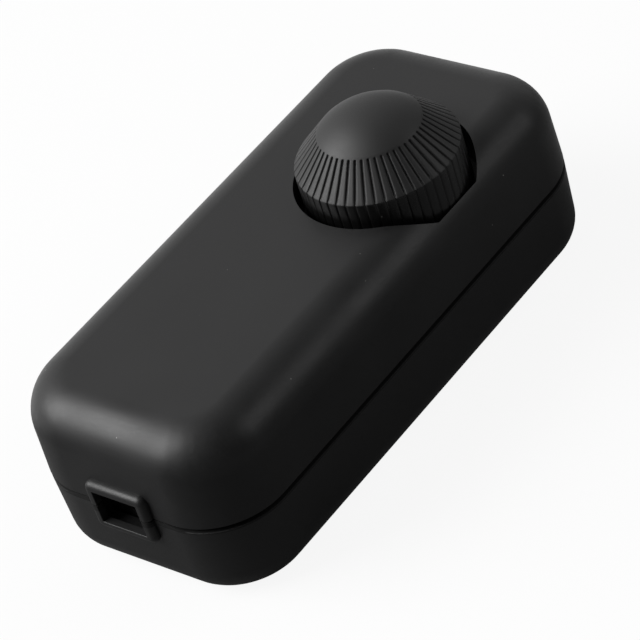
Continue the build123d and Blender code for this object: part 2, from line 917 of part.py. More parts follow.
def boxed_capacitor(centre, size, pitch, along_x):
    """Capacitor in a moulded box with two leads."""
    x, y = centre
    case = block(
        x - size[0] / 2,
        x + size[0] / 2,
        y - size[1] / 2,
        y + size[1] / 2,
        board_top,
        board_top + size[2],
    )
    case = fillet(case.edges().filter_by(Axis.Z), cap_edge)
    return case + leads(pair(centre, pitch, along_x), lead_radius)


def axial_part(y, radius, body_length):
    """Small round part that lies on the board, with its leads bent down into it."""
    z = board_top + radius + axial_lift
    lying = Pos(axial_x, y, z) * Rot(0, 90, 0)
    body = lying * Cylinder(radius, body_length)
    body = fillet(body.edges(), radius * axial_edge)
    wire = lying * Cylinder(lead_radius, axial_pitch)
    legs = [
        rod(px, py, board_z - lead_below, z, lead_radius) + Pos(px, py, z) * Sphere(lead_radius)
        for px, py in pair((axial_x, y), axial_pitch, True)
    ]
    return body + wire + legs


def fuse():
    """Glass tube fuse with its two end caps."""
    lying = Pos(*fuse_at, board_top + fuse_lift) * Rot(0, 90, 0)
    body = lying * Cylinder(fuse_radius, fuse_length)
    cap = Cylinder(fuse_radius + fuse_cap_step, fuse_cap)
    return body + [lying * Pos(0, 0, side * (fuse_length - fuse_cap) / 2) * cap for side in ends]


def fuse_clips():
    """Spring clips that hold the fuse, each with its solder pin."""
    clips = []
    grip = fuse_radius + fuse_cap_step + clip_gap
    z = board_top + fuse_lift
    for x, y in clip_places():
        lying = Pos(x, y, z) * Rot(0, 90, 0)
        clip = lying * Cylinder(grip + clip_wall, clip_length)
        foot = block(x - clip_length / 2, x + clip_length / 2, y - grip / 2, y + grip / 2, board_top, z)
        clip = clip + foot - lying * Cylinder(grip, 2 * clip_length)
        half = clip_mouth / 2
        mouth = block(x - clip_length, x + clip_length, y - half, y + half, z, z + 2 * grip)
        clips.append(clip - mouth + leads([(x, y)], block_pin_radius))
    return clips


def resistors():
    """Three resistors in a row."""
    return [axial_part(y, resistor_radius, resistor_length) for y in resistor_rows]


def save(name, shape):
    """Write one node to its file; a list is a group of separate solids."""
    if isinstance(shape, list):
        shape = Compound(children=[solid for piece in shape for solid in piece.solids()])
    export_step(shape, os.path.join("parts", name + ".step"))


os.makedirs("parts", exist_ok=True)
save("top_cover", top_cover())
save("base_shell", base_shell())
save("dial_knob", dial_knob())
save("potentiometer_shaft", potentiometer_shaft())
save("potentiometer_can", potentiometer_can())
save("potentiometer_washer", potentiometer_washer())
save("potentiometer_nut", potentiometer_nut())
save("circuit_board", circuit_board())
save("board_screws", board_screws())
save("case_screws", case_screws())
save("cord_clamp_near", cord_clamp(-1))
save("cord_clamp_far", cord_clamp(1))
save("cord_clamp_screws", cord_clamp_screws())
save("terminal_block_input", terminal_block(input_block, -1))
save("terminal_block_output", terminal_block(output_block, 1))
save("terminal_cages", terminal_cages())
save("terminal_screws", terminal_screws())
save("triac", triac())
save("heat_sink", heat_sink())
save("heat_sink_screw", heat_sink_screw())
save("choke_core", choke_core())
save("choke_winding", choke_winding())
save("film_capacitor", boxed_capacitor(film_cap_at, film_cap_size, film_cap_pitch, True))
save("timing_capacitor", boxed_capacitor(timing_cap_at, timing_cap_size, timing_cap_pitch, False))
save("diac", axial_part(diac_y, diac_radius, diac_length))
save("resistors", resistors())
save("fuse", fuse())
save("fuse_clips", fuse_clips())
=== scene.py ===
import bpy
import bmesh
from math import atan2, ceil, cos, hypot, pi, radians, sin, tan
from mathutils import Matrix, Vector


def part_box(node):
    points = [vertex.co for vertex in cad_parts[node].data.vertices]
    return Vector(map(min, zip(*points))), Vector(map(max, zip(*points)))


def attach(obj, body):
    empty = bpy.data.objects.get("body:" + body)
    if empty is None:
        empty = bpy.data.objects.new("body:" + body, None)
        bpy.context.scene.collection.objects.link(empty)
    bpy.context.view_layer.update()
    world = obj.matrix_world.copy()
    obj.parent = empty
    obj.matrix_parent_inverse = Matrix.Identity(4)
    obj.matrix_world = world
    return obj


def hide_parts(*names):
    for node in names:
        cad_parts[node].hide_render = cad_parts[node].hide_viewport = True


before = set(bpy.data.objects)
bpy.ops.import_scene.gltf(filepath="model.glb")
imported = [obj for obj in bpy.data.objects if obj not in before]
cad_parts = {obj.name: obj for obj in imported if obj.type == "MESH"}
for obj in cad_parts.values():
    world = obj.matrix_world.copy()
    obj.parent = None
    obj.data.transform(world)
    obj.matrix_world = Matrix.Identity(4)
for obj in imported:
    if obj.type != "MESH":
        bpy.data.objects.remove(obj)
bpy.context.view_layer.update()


# Top cover
# The upper half of the housing, injection moulded in black ABS with a fine spark-eroded grain.
# It holds the round dial well and half of each cord collar, and four screws pull it down from below.
mm = 0.001


class Value:
    """An output socket of a node, on which sums, products and comparisons can be written."""

    def __init__(self, owner, socket):
        self.owner = owner
        self.socket = socket

    def maths(self, operation, first, second):
        values = {"Value": first, "Value_001": second}
        return self.owner.node("ShaderNodeMath", {"operation": operation}, values)

    def __add__(self, other):
        return self.maths("ADD", self, other)

    def __radd__(self, other):
        return self.maths("ADD", other, self)

    def __sub__(self, other):
        return self.maths("SUBTRACT", self, other)

    def __rsub__(self, other):
        return self.maths("SUBTRACT", other, self)

    def __mul__(self, other):
        return self.maths("MULTIPLY", self, other)

    def __rmul__(self, other):
        return self.maths("MULTIPLY", other, self)

    def __truediv__(self, other):
        return self.maths("DIVIDE", self, other)

    def __rtruediv__(self, other):
        return self.maths("DIVIDE", other, self)

    def __gt__(self, other):
        return self.maths("GREATER_THAN", self, other)

    def __lt__(self, other):
        return self.maths("LESS_THAN", self, other)


class NodeTree:
    """A tree of nodes in the making, to which one method adds every kind of node."""

    def __init__(self, tree):
        self.tree = tree
        self.tree.nodes.clear()

    def connect(self, socket, source):
        """Link a socket to a value from another node, or set it to a constant."""
        if isinstance(source, Value):
            self.tree.links.new(source.socket, socket)
        else:
            socket.default_value = source

    def node(self, kind, settings=None, values=None, output=0):
        """Add a node of a kind: its settings first, then the values or links of its sockets."""
        made = self.tree.nodes.new(kind)
        for name, setting in (settings or {}).items():
            setattr(made, name, setting)
        for name, source in (values or {}).items():
            socket = next(entry for entry in made.inputs if entry.identifier == name)
            self.connect(socket, source)
        return Value(self, made.outputs[output])

    def spread(self, source, low, high, to_low=0.0, to_high=1.0):
        """Stretch a range of a value onto another range, held at both ends."""
        values = {"Value": source, "From Min": low, "From Max": high, "To Min": to_low, "To Max": to_high}
        return self.node("ShaderNodeMapRange", {"clamp": True}, values)


class Finish(NodeTree):
    """A material in the making: one shader, and the patterns that vary over the surface."""

    def __init__(self, name, colour, roughness, metallic=0.0):
        self.material = bpy.data.materials.new(name)
        self.material.use_nodes = True
        self.material.diffuse_color = (*colour, 1.0)
        super().__init__(self.material.node_tree)
        self.output = self.tree.nodes.new("ShaderNodeOutputMaterial")
        self.shader = self.tree.nodes.new("ShaderNodeBsdfPrincipled")
        self.tree.links.new(self.shader.outputs["BSDF"], self.output.inputs["Surface"])
        self.feed(Base_Color=(*colour, 1.0), Roughness=roughness, Metallic=metallic)

    def feed(self, **values):
        """Set or link the shader's own sockets; an underscore stands for a space."""
        for name, source in values.items():
            self.connect(self.shader.inputs[name.replace("_", " ")], source)

    def give_way(self, amount, other):
        """Let another shader take the place of this one by an amount."""
        own = Value(self, self.shader.outputs["BSDF"])
        mixed = self.node("ShaderNodeMixShader", None, {"Fac": amount, "Shader": own, "Shader_001": other})
        self.connect(self.output.inputs["Surface"], mixed)

    def place(self, stretch=(1.0, 1.0, 1.0), centre=(0.0, 0.0, 0.0)):
        """The point being shaded, measured from a centre and stretched along the axes."""
        here = self.node("ShaderNodeTexCoord", output="Object")
        values = {"Vector": here, "Vector_001": centre}
        moved = self.node("ShaderNodeVectorMath", {"operation": "SUBTRACT"}, values)
        values = {"Vector": moved, "Vector_001": stretch}
        return self.node("ShaderNodeVectorMath", {"operation": "MULTIPLY"}, values)

    def axis(self, letter, centre=(0.0, 0.0, 0.0)):
        """One coordinate of the point being shaded."""
        return self.node("ShaderNodeSeparateXYZ", None, {"Vector": self.place(centre=centre)}, letter)

    def noise(self, size, detail=2.0, rough=0.5, stretch=(1.0, 1.0, 1.0)):
        """Cloudy noise whose lumps are about size across."""
        values = {"Vector": self.place(stretch), "Scale": 1 / size, "Detail": detail, "Roughness": rough}
        return self.node("ShaderNodeTexNoise", None, values)

    def cells(self, size):
        """Distance from the nearest of many points, about size apart."""
        return self.node("ShaderNodeTexVoronoi", None, {"Vector": self.place(), "Scale": 1 / size})

    def mottle(self, source, to_low=0.0, to_high=1.0):
        """Bring the middle of a noise's range, where most of it lies, onto another range."""
        return self.spread(source, 0.3, 0.7, to_low, to_high)

    def blend(self, amount, first, second):
        """Mix of two colours by an amount."""
        first = first if isinstance(first, Value) else (*first, 1.0)
        second = second if isinstance(second, Value) else (*second, 1.0)
        values = {"Factor_Float": amount, "A_Color": first, "B_Color": second}
        return self.node("ShaderNodeMix", {"data_type": "RGBA"}, values, "Result")

    def bump(self, *layers):
        """Raise the surface by layers, each a height value and the depth it stands for."""
        normal = None
        for height, depth in layers:
            values = {"Height": height, "Strength": 1.0, "Distance": depth}
            if normal is not None:
                values["Normal"] = normal
            normal = self.node("ShaderNodeBump", None, values)
        self.feed(Normal=normal)


def shaded(colour, factor):
    """A colour made lighter or darker by a factor."""
    return tuple(min(1.0, factor * part) for part in colour)


def moulded_black(name, colour, roughness, grain_size, grain_depth, shine, zone=None):
    """Black moulding plastic, grained and faintly clouded, with a few specks of dust.

    A zone, given by its two heights and its change of roughness, is painted a deeper black: painted shade
    for a groove or well where shade falls.
    """
    cloud_size = 9 * mm
    cloud_depth = 0.010 * mm
    finish = Finish(name, colour, roughness)
    finish.feed(Specular_IOR_Level=shine)
    cloud = finish.noise(cloud_size)
    grain = finish.noise(grain_size, detail=3.0, rough=0.6)
    shade = finish.spread(cloud * 0.6 + grain * 0.4, 0.35, 0.65)
    body = finish.blend(shade, shaded(colour, 0.8), shaded(colour, 1.25))
    rough = finish.spread(cloud + grain, 0.75, 1.25, roughness - 0.05, roughness + 0.06)
    # Painted shade: within the zone the colour turns to a deeper black, and the roughness changes as well.
    if zone:
        zone_low, zone_high, rougher = zone
        zone_edge = 0.05 * mm
        painted_shade_black = (0.002, 0.002, 0.002)
        height = finish.axis("Z")
        above = finish.spread(height, zone_low - zone_edge, zone_low + zone_edge)
        below = finish.spread(height, zone_high - zone_edge, zone_high + zone_edge, 1.0, 0.0)
        body = finish.blend(above * below, body, painted_shade_black)
        rough = rough + above * below * rougher

    dust_spacing = 4 * mm
    dust_patch = 13 * mm
    dust_cover = 0.7
    dust_grey = (0.30, 0.30, 0.29)
    speck = finish.spread(finish.cells(dust_spacing), 0.014, 0.030, 1.0, 0.0)
    patch = finish.spread(finish.noise(dust_patch, detail=1.0), 0.46, 0.54)
    body = finish.blend(speck * patch * dust_cover, body, dust_grey)
    finish.feed(Base_Color=body, Roughness=rough)
    finish.bump((cloud, cloud_depth), (grain, grain_depth))
    return finish.material


def in_scene(name, data):
    """New object in the scene for a mesh, a lamp or a camera."""
    thing = bpy.data.objects.new(name, data)
    bpy.context.scene.collection.objects.link(thing)
    return thing


def settled(piece):
    """Turn a piece's live modifiers into its plain mesh."""
    graph = bpy.context.evaluated_depsgraph_get()
    plain = bpy.data.meshes.new_from_object(piece.evaluated_get(graph), depsgraph=graph)
    plain.name = piece.name
    piece.modifiers.clear()
    piece.data = plain


def smoothed(mesh, sharp_angle):
    """Shade a mesh smooth, but crisp where two faces meet at more than an angle."""
    mesh.shade_smooth()
    mesh.set_sharp_from_angle(angle=sharp_angle)


def moulding_from(node, name, material):
    """Copy of a moulded node as one closed skin, smooth over its curves and crisp at its edges."""
    weld = 0.001 * mm
    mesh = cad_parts[node].data.copy()
    mesh.name = name
    skin = bmesh.new()
    skin.from_mesh(mesh)
    bmesh.ops.remove_doubles(skin, verts=skin.verts, dist=weld)
    skin.to_mesh(mesh)
    skin.free()
    mesh.materials.clear()
    mesh.materials.append(material)
    if mesh.has_custom_normals:
        mesh.attributes.remove(mesh.attributes["custom_normal"])
    smoothed(mesh, sharp_angle=radians(32))
    piece = in_scene(name, mesh)
    even = piece.modifiers.new("even shading", "WEIGHTED_NORMAL")
    even.keep_sharp = True
    settled(piece)
    return piece


joint_low = 13.2 * mm
joint_high = 14.35 * mm
housing_black = moulded_black(
    "housing black",
    colour=(0.0088, 0.0088, 0.0090),
    roughness=0.44,
    grain_size=0.32 * mm,
    grain_depth=0.006 * mm,
    shine=0.38,
    # painted shade along the shadow gap between cover and base, which is rougher there as well
    zone=(joint_low, joint_high, 0.30),
)
top_cover = moulding_from("top_cover", "top_cover_moulding", housing_black)
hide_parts("top_cover")
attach(top_cover, "housing")


# Base shell
# The lower half of the housing, moulded in the same plastic, with a tongue that fits in the cover's rim.
# Below are four deep screw recesses and a shallow bare panel; inside, posts hold the board and the clamps.
base_shell = moulding_from("base_shell", "base_shell_moulding", housing_black)
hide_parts("base_shell")
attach(base_shell, "housing")


# Dial
# A hollow cap moulded in smoother black plastic, pressed on the potentiometer's shaft and turned by finger.
# Grip grooves run up its band and cone and end round below the smooth dome, and four webs carry its hub.
def rounded_turn(before, corner, after, radius, steps):
    """Points of an arc that rounds one corner of a profile."""
    into = (corner - before).normalized()
    out = (after - corner).normalized()
    turn = into.angle(out)
    sense = 1 if into.cross(out) > 0 else -1
    start = corner - into * radius * tan(turn / 2)
    centre = start + Vector((-into.y, into.x)) * sense * radius
    arm = start - centre
    return [centre + Matrix.Rotation(sense * turn * step / steps, 2) @ arm for step in range(steps + 1)]


def even_steps(start, end, steps):
    """Points that divide a straight run evenly, without its first point."""
    return [start.lerp(end, step / steps) for step in range(1, steps + 1)]


dial_low, dial_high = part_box("dial_knob")
dial_axis = ((dial_low + dial_high) / 2).xy / mm
dial_bottom = dial_low.z / mm
dial_top = dial_high.z / mm
band_radius = 12.4
band_top = 32.2
cone_radius = 7.7
cone_top = 37.15
dome_rise = dial_top - cone_top
dome_radius = (cone_radius**2 + dome_rise**2) / (2 * dome_rise)
dome_centre = dial_top - dome_radius
rim_slope = atan2(cone_radius, cone_top - dome_centre)

# The outside in section, from the foot of the band up to the top of the dome
foot_width = 1.0
foot_round = 0.25
band_round = 0.45
rim_round = 1.2
bottom_inner = Vector((band_radius - foot_width, dial_bottom))
bottom_rim = Vector((band_radius, dial_bottom))
band_edge = Vector((band_radius, band_top))
dome_rim = Vector((cone_radius, cone_top))
dome_next = dome_rim + Vector((-cos(rim_slope), sin(rim_slope)))
foot_turn = rounded_turn(bottom_inner, bottom_rim, band_edge, foot_round, steps=2)
band_turn = rounded_turn(bottom_rim, band_edge, dome_rim, band_round, steps=4)
rim_turn = rounded_turn(band_edge, dome_rim, dome_next, rim_round, steps=3)

# Each groove is rounded, shallower on the band than on the cone, and stops short of the dome in a round end
groove_count = 52
groove_half = 0.22
groove_depth = 0.29
band_share = 0.40
deepens_below = 0.3
deepens_over = 1.2
lip_start = 0.10
lip_end = 1.12
groove_end = 0.965
cap_reach = 1.10 * groove_half
cap_steps = 6
along = (dome_rim - band_edge).normalized()
cone_run = (dome_rim - band_edge).length
groove_stop = band_edge.lerp(dome_rim, groove_end - groove_half / cone_run)

outline = list(foot_turn)
outline += even_steps(foot_turn[-1], band_turn[0], steps=6)
outline += band_turn[1:]
outline += even_steps(band_turn[-1], groove_stop, steps=9)
for step in range(1, cap_steps + 1):
    outline.append(groove_stop + along * cap_reach * sin(pi / 2 * step / cap_steps))
outline += rim_turn
grooved_rows = len(outline)
dome_steps = 12
rim_angle = atan2(rim_turn[-1].x, rim_turn[-1].y - dome_centre)
for step in range(1, dome_steps):
    lean = rim_angle * (1 - step / dome_steps)
    outline.append(Vector((dome_radius * sin(lean), dome_centre + dome_radius * cos(lean))))

# The inside in section, from the foot of the band up to the ceiling and round the hub to the shaft's socket
hub_radius = 4.9
hub_bottom = 27.6
socket_radius = 3.02
socket_top = 36.95
socket_flat = 1.62
foot_inner = 11.5
inner_wall = 10.8
bend_height = 31.7
ceiling_radius = 6.0
ceiling = 37.1
inside = [
    Vector((foot_inner, dial_bottom)),
    Vector((inner_wall, dial_bottom)),
    Vector((inner_wall, bend_height)),
    Vector((ceiling_radius, ceiling)),
    Vector((hub_radius, ceiling)),
    Vector((hub_radius, hub_bottom)),
    Vector((socket_radius, hub_bottom)),
    Vector((socket_radius, socket_top)),
]


def groove_at(offset, point):
    """Depth of the groove below a point of the outline, at a sideways offset from its middle line."""
    past = max(0.0, (point - groove_stop).dot(along))
    away = hypot(offset, past) / groove_half
    if away >= lip_end:
        return 0.0
    risen = min(1.0, max(0.0, (point.y - band_top + deepens_below) / deepens_over))
    full = groove_depth * (band_share + (1 - band_share) * risen)
    if away <= lip_start:
        return full
    return full * (1 + cos(pi * (away - lip_start) / (lip_end - lip_start))) / 2


def mesh_in_metres(skin, name):
    """Mesh of a shape that was built in millimetres."""
    bmesh.ops.scale(skin, verts=skin.verts, vec=(mm, mm, mm))
    mesh = bpy.data.meshes.new(name)
    skin.to_mesh(mesh)
    skin.free()
    return mesh


def dial_sector():
    """One groove with half a land either side, from the hub's socket round to the top of the dome."""
    half_angle = pi / groove_count
    groove_columns = (0.0, 0.055, 0.105, 0.15, 0.19, 0.25)
    skin = bmesh.new()
    rows = []
    for number, point in enumerate(outline[:grooved_rows]):
        before = outline[max(number - 1, 0)]
        after = outline[number + 1]
        run = (after - before).normalized()
        inward = Vector((-run.y, run.x))
        reach = max(point.x, cone_radius)
        half_pitch = half_angle * reach
        offsets = [*groove_columns, (groove_columns[-1] + half_pitch) / 2, half_pitch]
        row = []
        for offset in [-value for value in reversed(offsets[1:])] + offsets:
            spot = point + inward * groove_at(abs(offset), point)
            angle = offset / reach
            row.append(skin.verts.new((spot.x * cos(angle), spot.x * sin(angle), spot.y)))
        rows.append(row)
    for lower, upper in zip(rows, rows[1:]):
        for column in range(len(lower) - 1):
            skin.faces.new((lower[column], lower[column + 1], upper[column + 1], upper[column]))

    def smooth_rows(points, first, flipped):
        """Rows of three points that carry on from a row of many."""
        middle = len(first) // 2
        spans = [first[:middle + 1], first[middle:]]
        for point in points:
            row = [
                skin.verts.new((point.x * cos(angle), point.x * sin(angle), point.y))
                for angle in (-half_angle, 0.0, half_angle)
            ]
            for span, left, right in zip(spans, row, row[1:]):
                loop = [*span, right, left]
                skin.faces.new(loop[::-1] if flipped else loop)
            spans = [row[:2], row[1:]]
        return row

    dome_row = smooth_rows(outline[grooved_rows:], rows[-1], flipped=False)
    apex = skin.verts.new((0, 0, dial_top))
    for left, right in zip(dome_row, dome_row[1:]):
        skin.faces.new((left, right, apex))
    socket_row = smooth_rows(inside, rows[0], flipped=True)
    socket_end = skin.verts.new((0, 0, socket_top))
    for left, right in zip(socket_row, socket_row[1:]):
        skin.faces.new((right, left, socket_end))
    return in_scene("dial_moulding", mesh_in_metres(skin, "dial_moulding"))


class Pattern(NodeTree):
    """A Geometry Nodes tree in the making, with named inputs."""

    def __init__(self, name, inputs):
        super().__init__(bpy.data.node_groups.new(name, "GeometryNodeTree"))
        face = self.tree.interface
        self.known = {}
        for label, kind in {"Geometry": "Geometry", **inputs}.items():
            entry = face.new_socket(label, in_out="INPUT", socket_type="NodeSocket" + kind)
            self.known[label] = entry.identifier
        face.new_socket("Geometry", in_out="OUTPUT", socket_type="NodeSocketGeometry")
        self.source = self.tree.nodes.new("NodeGroupInput")
        self.sink = self.tree.nodes.new("NodeGroupOutput")

    def given(self, label):
        """What the tree is given for one of its inputs."""
        return Value(self, self.source.outputs[label])

    def finish(self, shape, material):
        """End the tree in plain faces with their material."""
        plain = self.node("GeometryNodeRealizeInstances", None, {"Geometry": shape})
        coated = self.node("GeometryNodeSetMaterial", None, {"Geometry": plain, "Material": material})
        self.connect(self.sink.inputs["Geometry"], coated)

    def run(self, piece, **values):
        """Put the tree on a piece with these inputs, and make the result its plain mesh."""
        made = piece.modifiers.new("pattern", "NODES")
        made.node_group = self.tree
        for label, value in values.items():
            made[self.known[label.replace("_", " ")]] = value
        settled(piece)


def ring_pattern():
    """Sectors set round an axis and welded at their seams."""
    kinds = {"Count": "Int", "Axis": "Vector", "Seam": "Float", "Finish": "Material"}
    ring = Pattern("ring of sectors", kinds)
    count = ring.given("Count")
    number = ring.node("GeometryNodeInputIndex")
    places = ring.node("GeometryNodePoints", None, {"Count": count})
    about_z = ring.node("ShaderNodeCombineXYZ", None, {"Z": number * (2 * pi / count)})
    turned = ring.node("FunctionNodeEulerToRotation", None, {"Euler": about_z})
    values = {"Points": places, "Instance": ring.given("Geometry"), "Rotation": turned}
    sectors = ring.node("GeometryNodeInstanceOnPoints", None, values)
    plain = ring.node("GeometryNodeRealizeInstances", None, {"Geometry": sectors})
    values = {"Geometry": plain, "Distance": ring.given("Seam")}
    welded = ring.node("GeometryNodeMergeByDistance", None, values)
    values = {"Geometry": welded, "Translation": ring.given("Axis")}
    placed = ring.node("GeometryNodeTransform", None, values)
    ring.finish(placed, ring.given("Finish"))
    return ring


dial_black = moulded_black(
    "dial black",
    colour=(0.0080, 0.0080, 0.0081),
    roughness=0.56,
    grain_size=0.22 * mm,
    grain_depth=0.002 * mm,
    shine=0.54,
    # painted shade over the band of the dial and everything below it, which is smoother there as well
    zone=(0.0, band_top * mm, -0.24),
)
dial = dial_sector()
ring_pattern().run(
    dial,
    Count=groove_count,
    Axis=(dial_axis.x * mm, dial_axis.y * mm, 0.0),
    Seam=0.002 * mm,
    Finish=dial_black,
)

web_count = 4
web_half = 0.6
web_bottom = hub_bottom + 1.0
sunk_in_wall = 0.7
sunk_in_hub = 0.5
web_outline = [
    (hub_radius - sunk_in_hub, web_bottom),
    (inner_wall + sunk_in_wall, web_bottom),
    (inner_wall + sunk_in_wall, bend_height),
    (ceiling_radius, ceiling + sunk_in_hub),
    (hub_radius - sunk_in_hub, ceiling + sunk_in_hub),
]
webs = bmesh.new()
webs.from_mesh(dial.data)
for number in range(web_count):
    angle = 2 * pi * number / web_count
    outward = Vector((cos(angle), sin(angle), 0.0))
    sideways = Vector((-sin(angle), cos(angle), 0.0))
    faces = []
    for side in (-1, 1):
        middle = Vector((dial_axis.x, dial_axis.y, 0.0)) + sideways * side * web_half
        spots = [middle + outward * radius + Vector((0, 0, height)) for radius, height in web_outline]
        faces.append([webs.verts.new(spot * mm) for spot in spots])
    near, far = faces
    webs.faces.new(near)
    webs.faces.new(far[::-1])
    for one in range(len(near)):
        two = (one + 1) % len(near)
        webs.faces.new((near[two], near[one], far[one], far[two]))
webs.to_mesh(dial.data)
webs.free()

# The socket's side is flattened, as the shaft's is
hair = 0.01
for vertex in dial.data.vertices:
    arm = vertex.co.xy / mm - dial_axis
    in_socket = arm.length < socket_radius + hair and vertex.co.z / mm < socket_top + hair
    if in_socket and arm.y > socket_flat:
        vertex.co.y = (dial_axis.y + socket_flat) * mm
smoothed(dial.data, sharp_angle=radians(40))
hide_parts("dial_knob")
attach(dial, "dial")


# Case screws
# Four thread-forming screws in zinc plated steel, with rounded heads and a cross recess.
# They sit deep in the base's recesses and cut their own thread in the cover's bosses.
def screw_blank(head_radius, head_height, shank_radius, reach, pitch):
    """Cross-recessed screw on the Z axis, head upwards from the origin and threaded shank below."""
    recess_reach = 0.65 * head_radius
    recess_half = 0.125 * head_radius
    recess_floor = 0.5 * head_height
    recess_taper = 0.75
    corner = atan2(recess_half, recess_reach)
    flank = [radians(22), radians(33)]
    quarter = [-pi / 4, -flank[1], -flank[0], -corner, 0.0, corner, *flank]
    columns = [angle + pi / 2 * turn for turn in range(4) for angle in quarter]

    def recess(angle):
        """Distance of the cross's outline from the middle at an angle."""
        folded = abs((angle + pi / 4) % (pi / 2) - pi / 4)
        if folded <= corner + 0.001:
            return recess_reach / cos(folded)
        return recess_half / sin(folded)

    head_profile = [(0.72, 1.0), (0.86, 0.95), (0.95, 0.84), (1.0, 0.65), (1.0, 0.08), (0.97, 0.0)]
    rows = [[(recess_taper * recess(angle), recess_floor) for angle in columns]]
    rows.append([(recess(angle), head_height) for angle in columns])
    for share, rise in head_profile:
        rows.append([(share * head_radius, rise * head_height)] * len(columns))

    core = 0.78 * shank_radius
    tip_radius = 0.35 * shank_radius
    tip_length = 0.9 * shank_radius
    thread_steps = 6
    thread_taper = 2.2
    thread_run_in = 1 / 3
    steps = ceil(thread_steps * (reach - tip_length) / pitch)
    for step in range(steps + 1):
        z = -(reach - tip_length) * step / steps
        started = min(1.0, step / steps / thread_run_in)
        row = []
        for angle in columns:
            share = (z / pitch + angle / (2 * pi)) % 1.0
            ridge = max(0.0, 1 - abs(2 * share - 1) * thread_taper) * started
            row.append((core + (shank_radius - core) * ridge, z))
        rows.append(row)
    rows.append([(tip_radius, -reach)] * len(columns))

    skin = bmesh.new()
    rings = []
    for row in rows:
        ring = [skin.verts.new((r * cos(angle), r * sin(angle), z)) for angle, (r, z) in zip(columns, row)]
        rings.append(ring)
    for upper, lower in zip(rings, rings[1:]):
        for number in range(len(columns)):
            after = (number + 1) % len(columns)
            skin.faces.new((upper[number], lower[number], lower[after], upper[after]))
    skin.faces.new(rings[0])
    skin.faces.new(rings[-1][::-1])
    mesh = mesh_in_metres(skin, "screw blank")
    smoothed(mesh, sharp_angle=radians(38))
    return in_scene("screw blank", mesh)


def fastening_pattern():
    """One shape set at every point of a piece, leaning the same way and turned as it happened to stop."""
    kinds = {"Shape": "Object", "Lean": "Float", "Spin": "Float", "Seed": "Int", "Finish": "Material"}
    set_out = Pattern("fastenings in place", kinds)
    shape = set_out.node("GeometryNodeObjectInfo", None, {"Object": set_out.given("Shape")}, "Geometry")
    values = {"Max_001": set_out.given("Spin"), "Seed": set_out.given("Seed")}
    stop = set_out.node("FunctionNodeRandomValue", {"data_type": "FLOAT"}, values, 1)
    angles = set_out.node("ShaderNodeCombineXYZ", None, {"X": set_out.given("Lean"), "Z": stop})
    turned = set_out.node("FunctionNodeEulerToRotation", None, {"Euler": angles})
    values = {"Points": set_out.given("Geometry"), "Instance": shape, "Rotation": turned}
    set_out.finish(set_out.node("GeometryNodeInstanceOnPoints", None, values), set_out.given("Finish"))
    return set_out


def driven_screws(node, blank, places, lean, spin, seed):
    """Replace a node's plain screws by threaded ones with their heads seated at these places."""
    mesh = bpy.data.meshes.new(node + "_threaded")
    mesh.from_pydata([Vector(place) * mm for place in places], [], [])
    screws = in_scene(node + "_threaded", mesh)
    fastenings.run(screws, Shape=blank, Lean=lean, Spin=spin, Seed=seed, Finish=zinc_plate)
    bpy.data.objects.remove(blank)
    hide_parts(node)
    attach(screws, "housing")


def plated(name, colour, tint, roughness):
    """Plated metal with faint clouds in its colour and fine rubbed marks."""
    finish = Finish(name, colour, roughness, metallic=1.0)
    cloud = finish.noise(1.1 * mm, detail=3.0)
    mark = finish.noise(0.10 * mm)
    finish.feed(Base_Color=finish.blend(finish.spread(cloud, 0.35, 0.65), colour, tint))
    finish.feed(Roughness=finish.spread(cloud + mark, 0.8, 1.2, roughness - 0.08, roughness + 0.10))
    finish.bump((mark, 0.0012 * mm))
    return finish.material


zinc_plate = plated("zinc plate", (0.60, 0.61, 0.63), tint=(0.62, 0.60, 0.53), roughness=0.32)
fastenings = fastening_pattern()
case_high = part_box("case_screws")[1] / mm
case_reach = 14.0
case_head = 2.7
case_x = case_high.x - case_head
case_y = case_high.y - case_head
case_seat = case_high.z - case_reach
driven_screws(
    "case_screws",
    screw_blank(case_head, head_height=1.8, shank_radius=1.45, reach=case_reach, pitch=1.1),
    [(side * case_x, end * case_y, case_seat) for side in (-1, 1) for end in (-1, 1)],
    lean=pi,
    spin=pi / 2,
    seed=3,
)


# Cord clamps
# Two arched bars moulded in black nylon, one at each entry, that press the cord into its hollowed saddle.
# A pair of screws beside the cord draws each bar down on the base's pillars.
def coat(material, *nodes):
    """Give nodes of the frame their finished material."""
    for node in nodes:
        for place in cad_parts[node].material_slots:
            place.material = material


clamp_black = moulded_black(
    "clamp black",
    colour=(0.020, 0.020, 0.021),
    roughness=0.50,
    grain_size=0.30 * mm,
    grain_depth=0.006 * mm,
    shine=0.40,
)
coat(clamp_black, "cord_clamp_near", "cord_clamp_far")
clamp_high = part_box("cord_clamp_screws")[1] / mm
clamp_head = 2.3
clamp_head_height = 1.6
clamp_x = clamp_high.x - clamp_head
clamp_y = clamp_high.y - clamp_head
clamp_seat = clamp_high.z - clamp_head_height
driven_screws(
    "cord_clamp_screws",
    screw_blank(clamp_head, clamp_head_height, shank_radius=1.25, reach=9.1, pitch=1.0),
    [(side * clamp_x, end * clamp_y, clamp_seat) for side in (-1, 1) for end in (-1, 1)],
    lean=0.0,
    spin=pi / 2,
    seed=5,
)


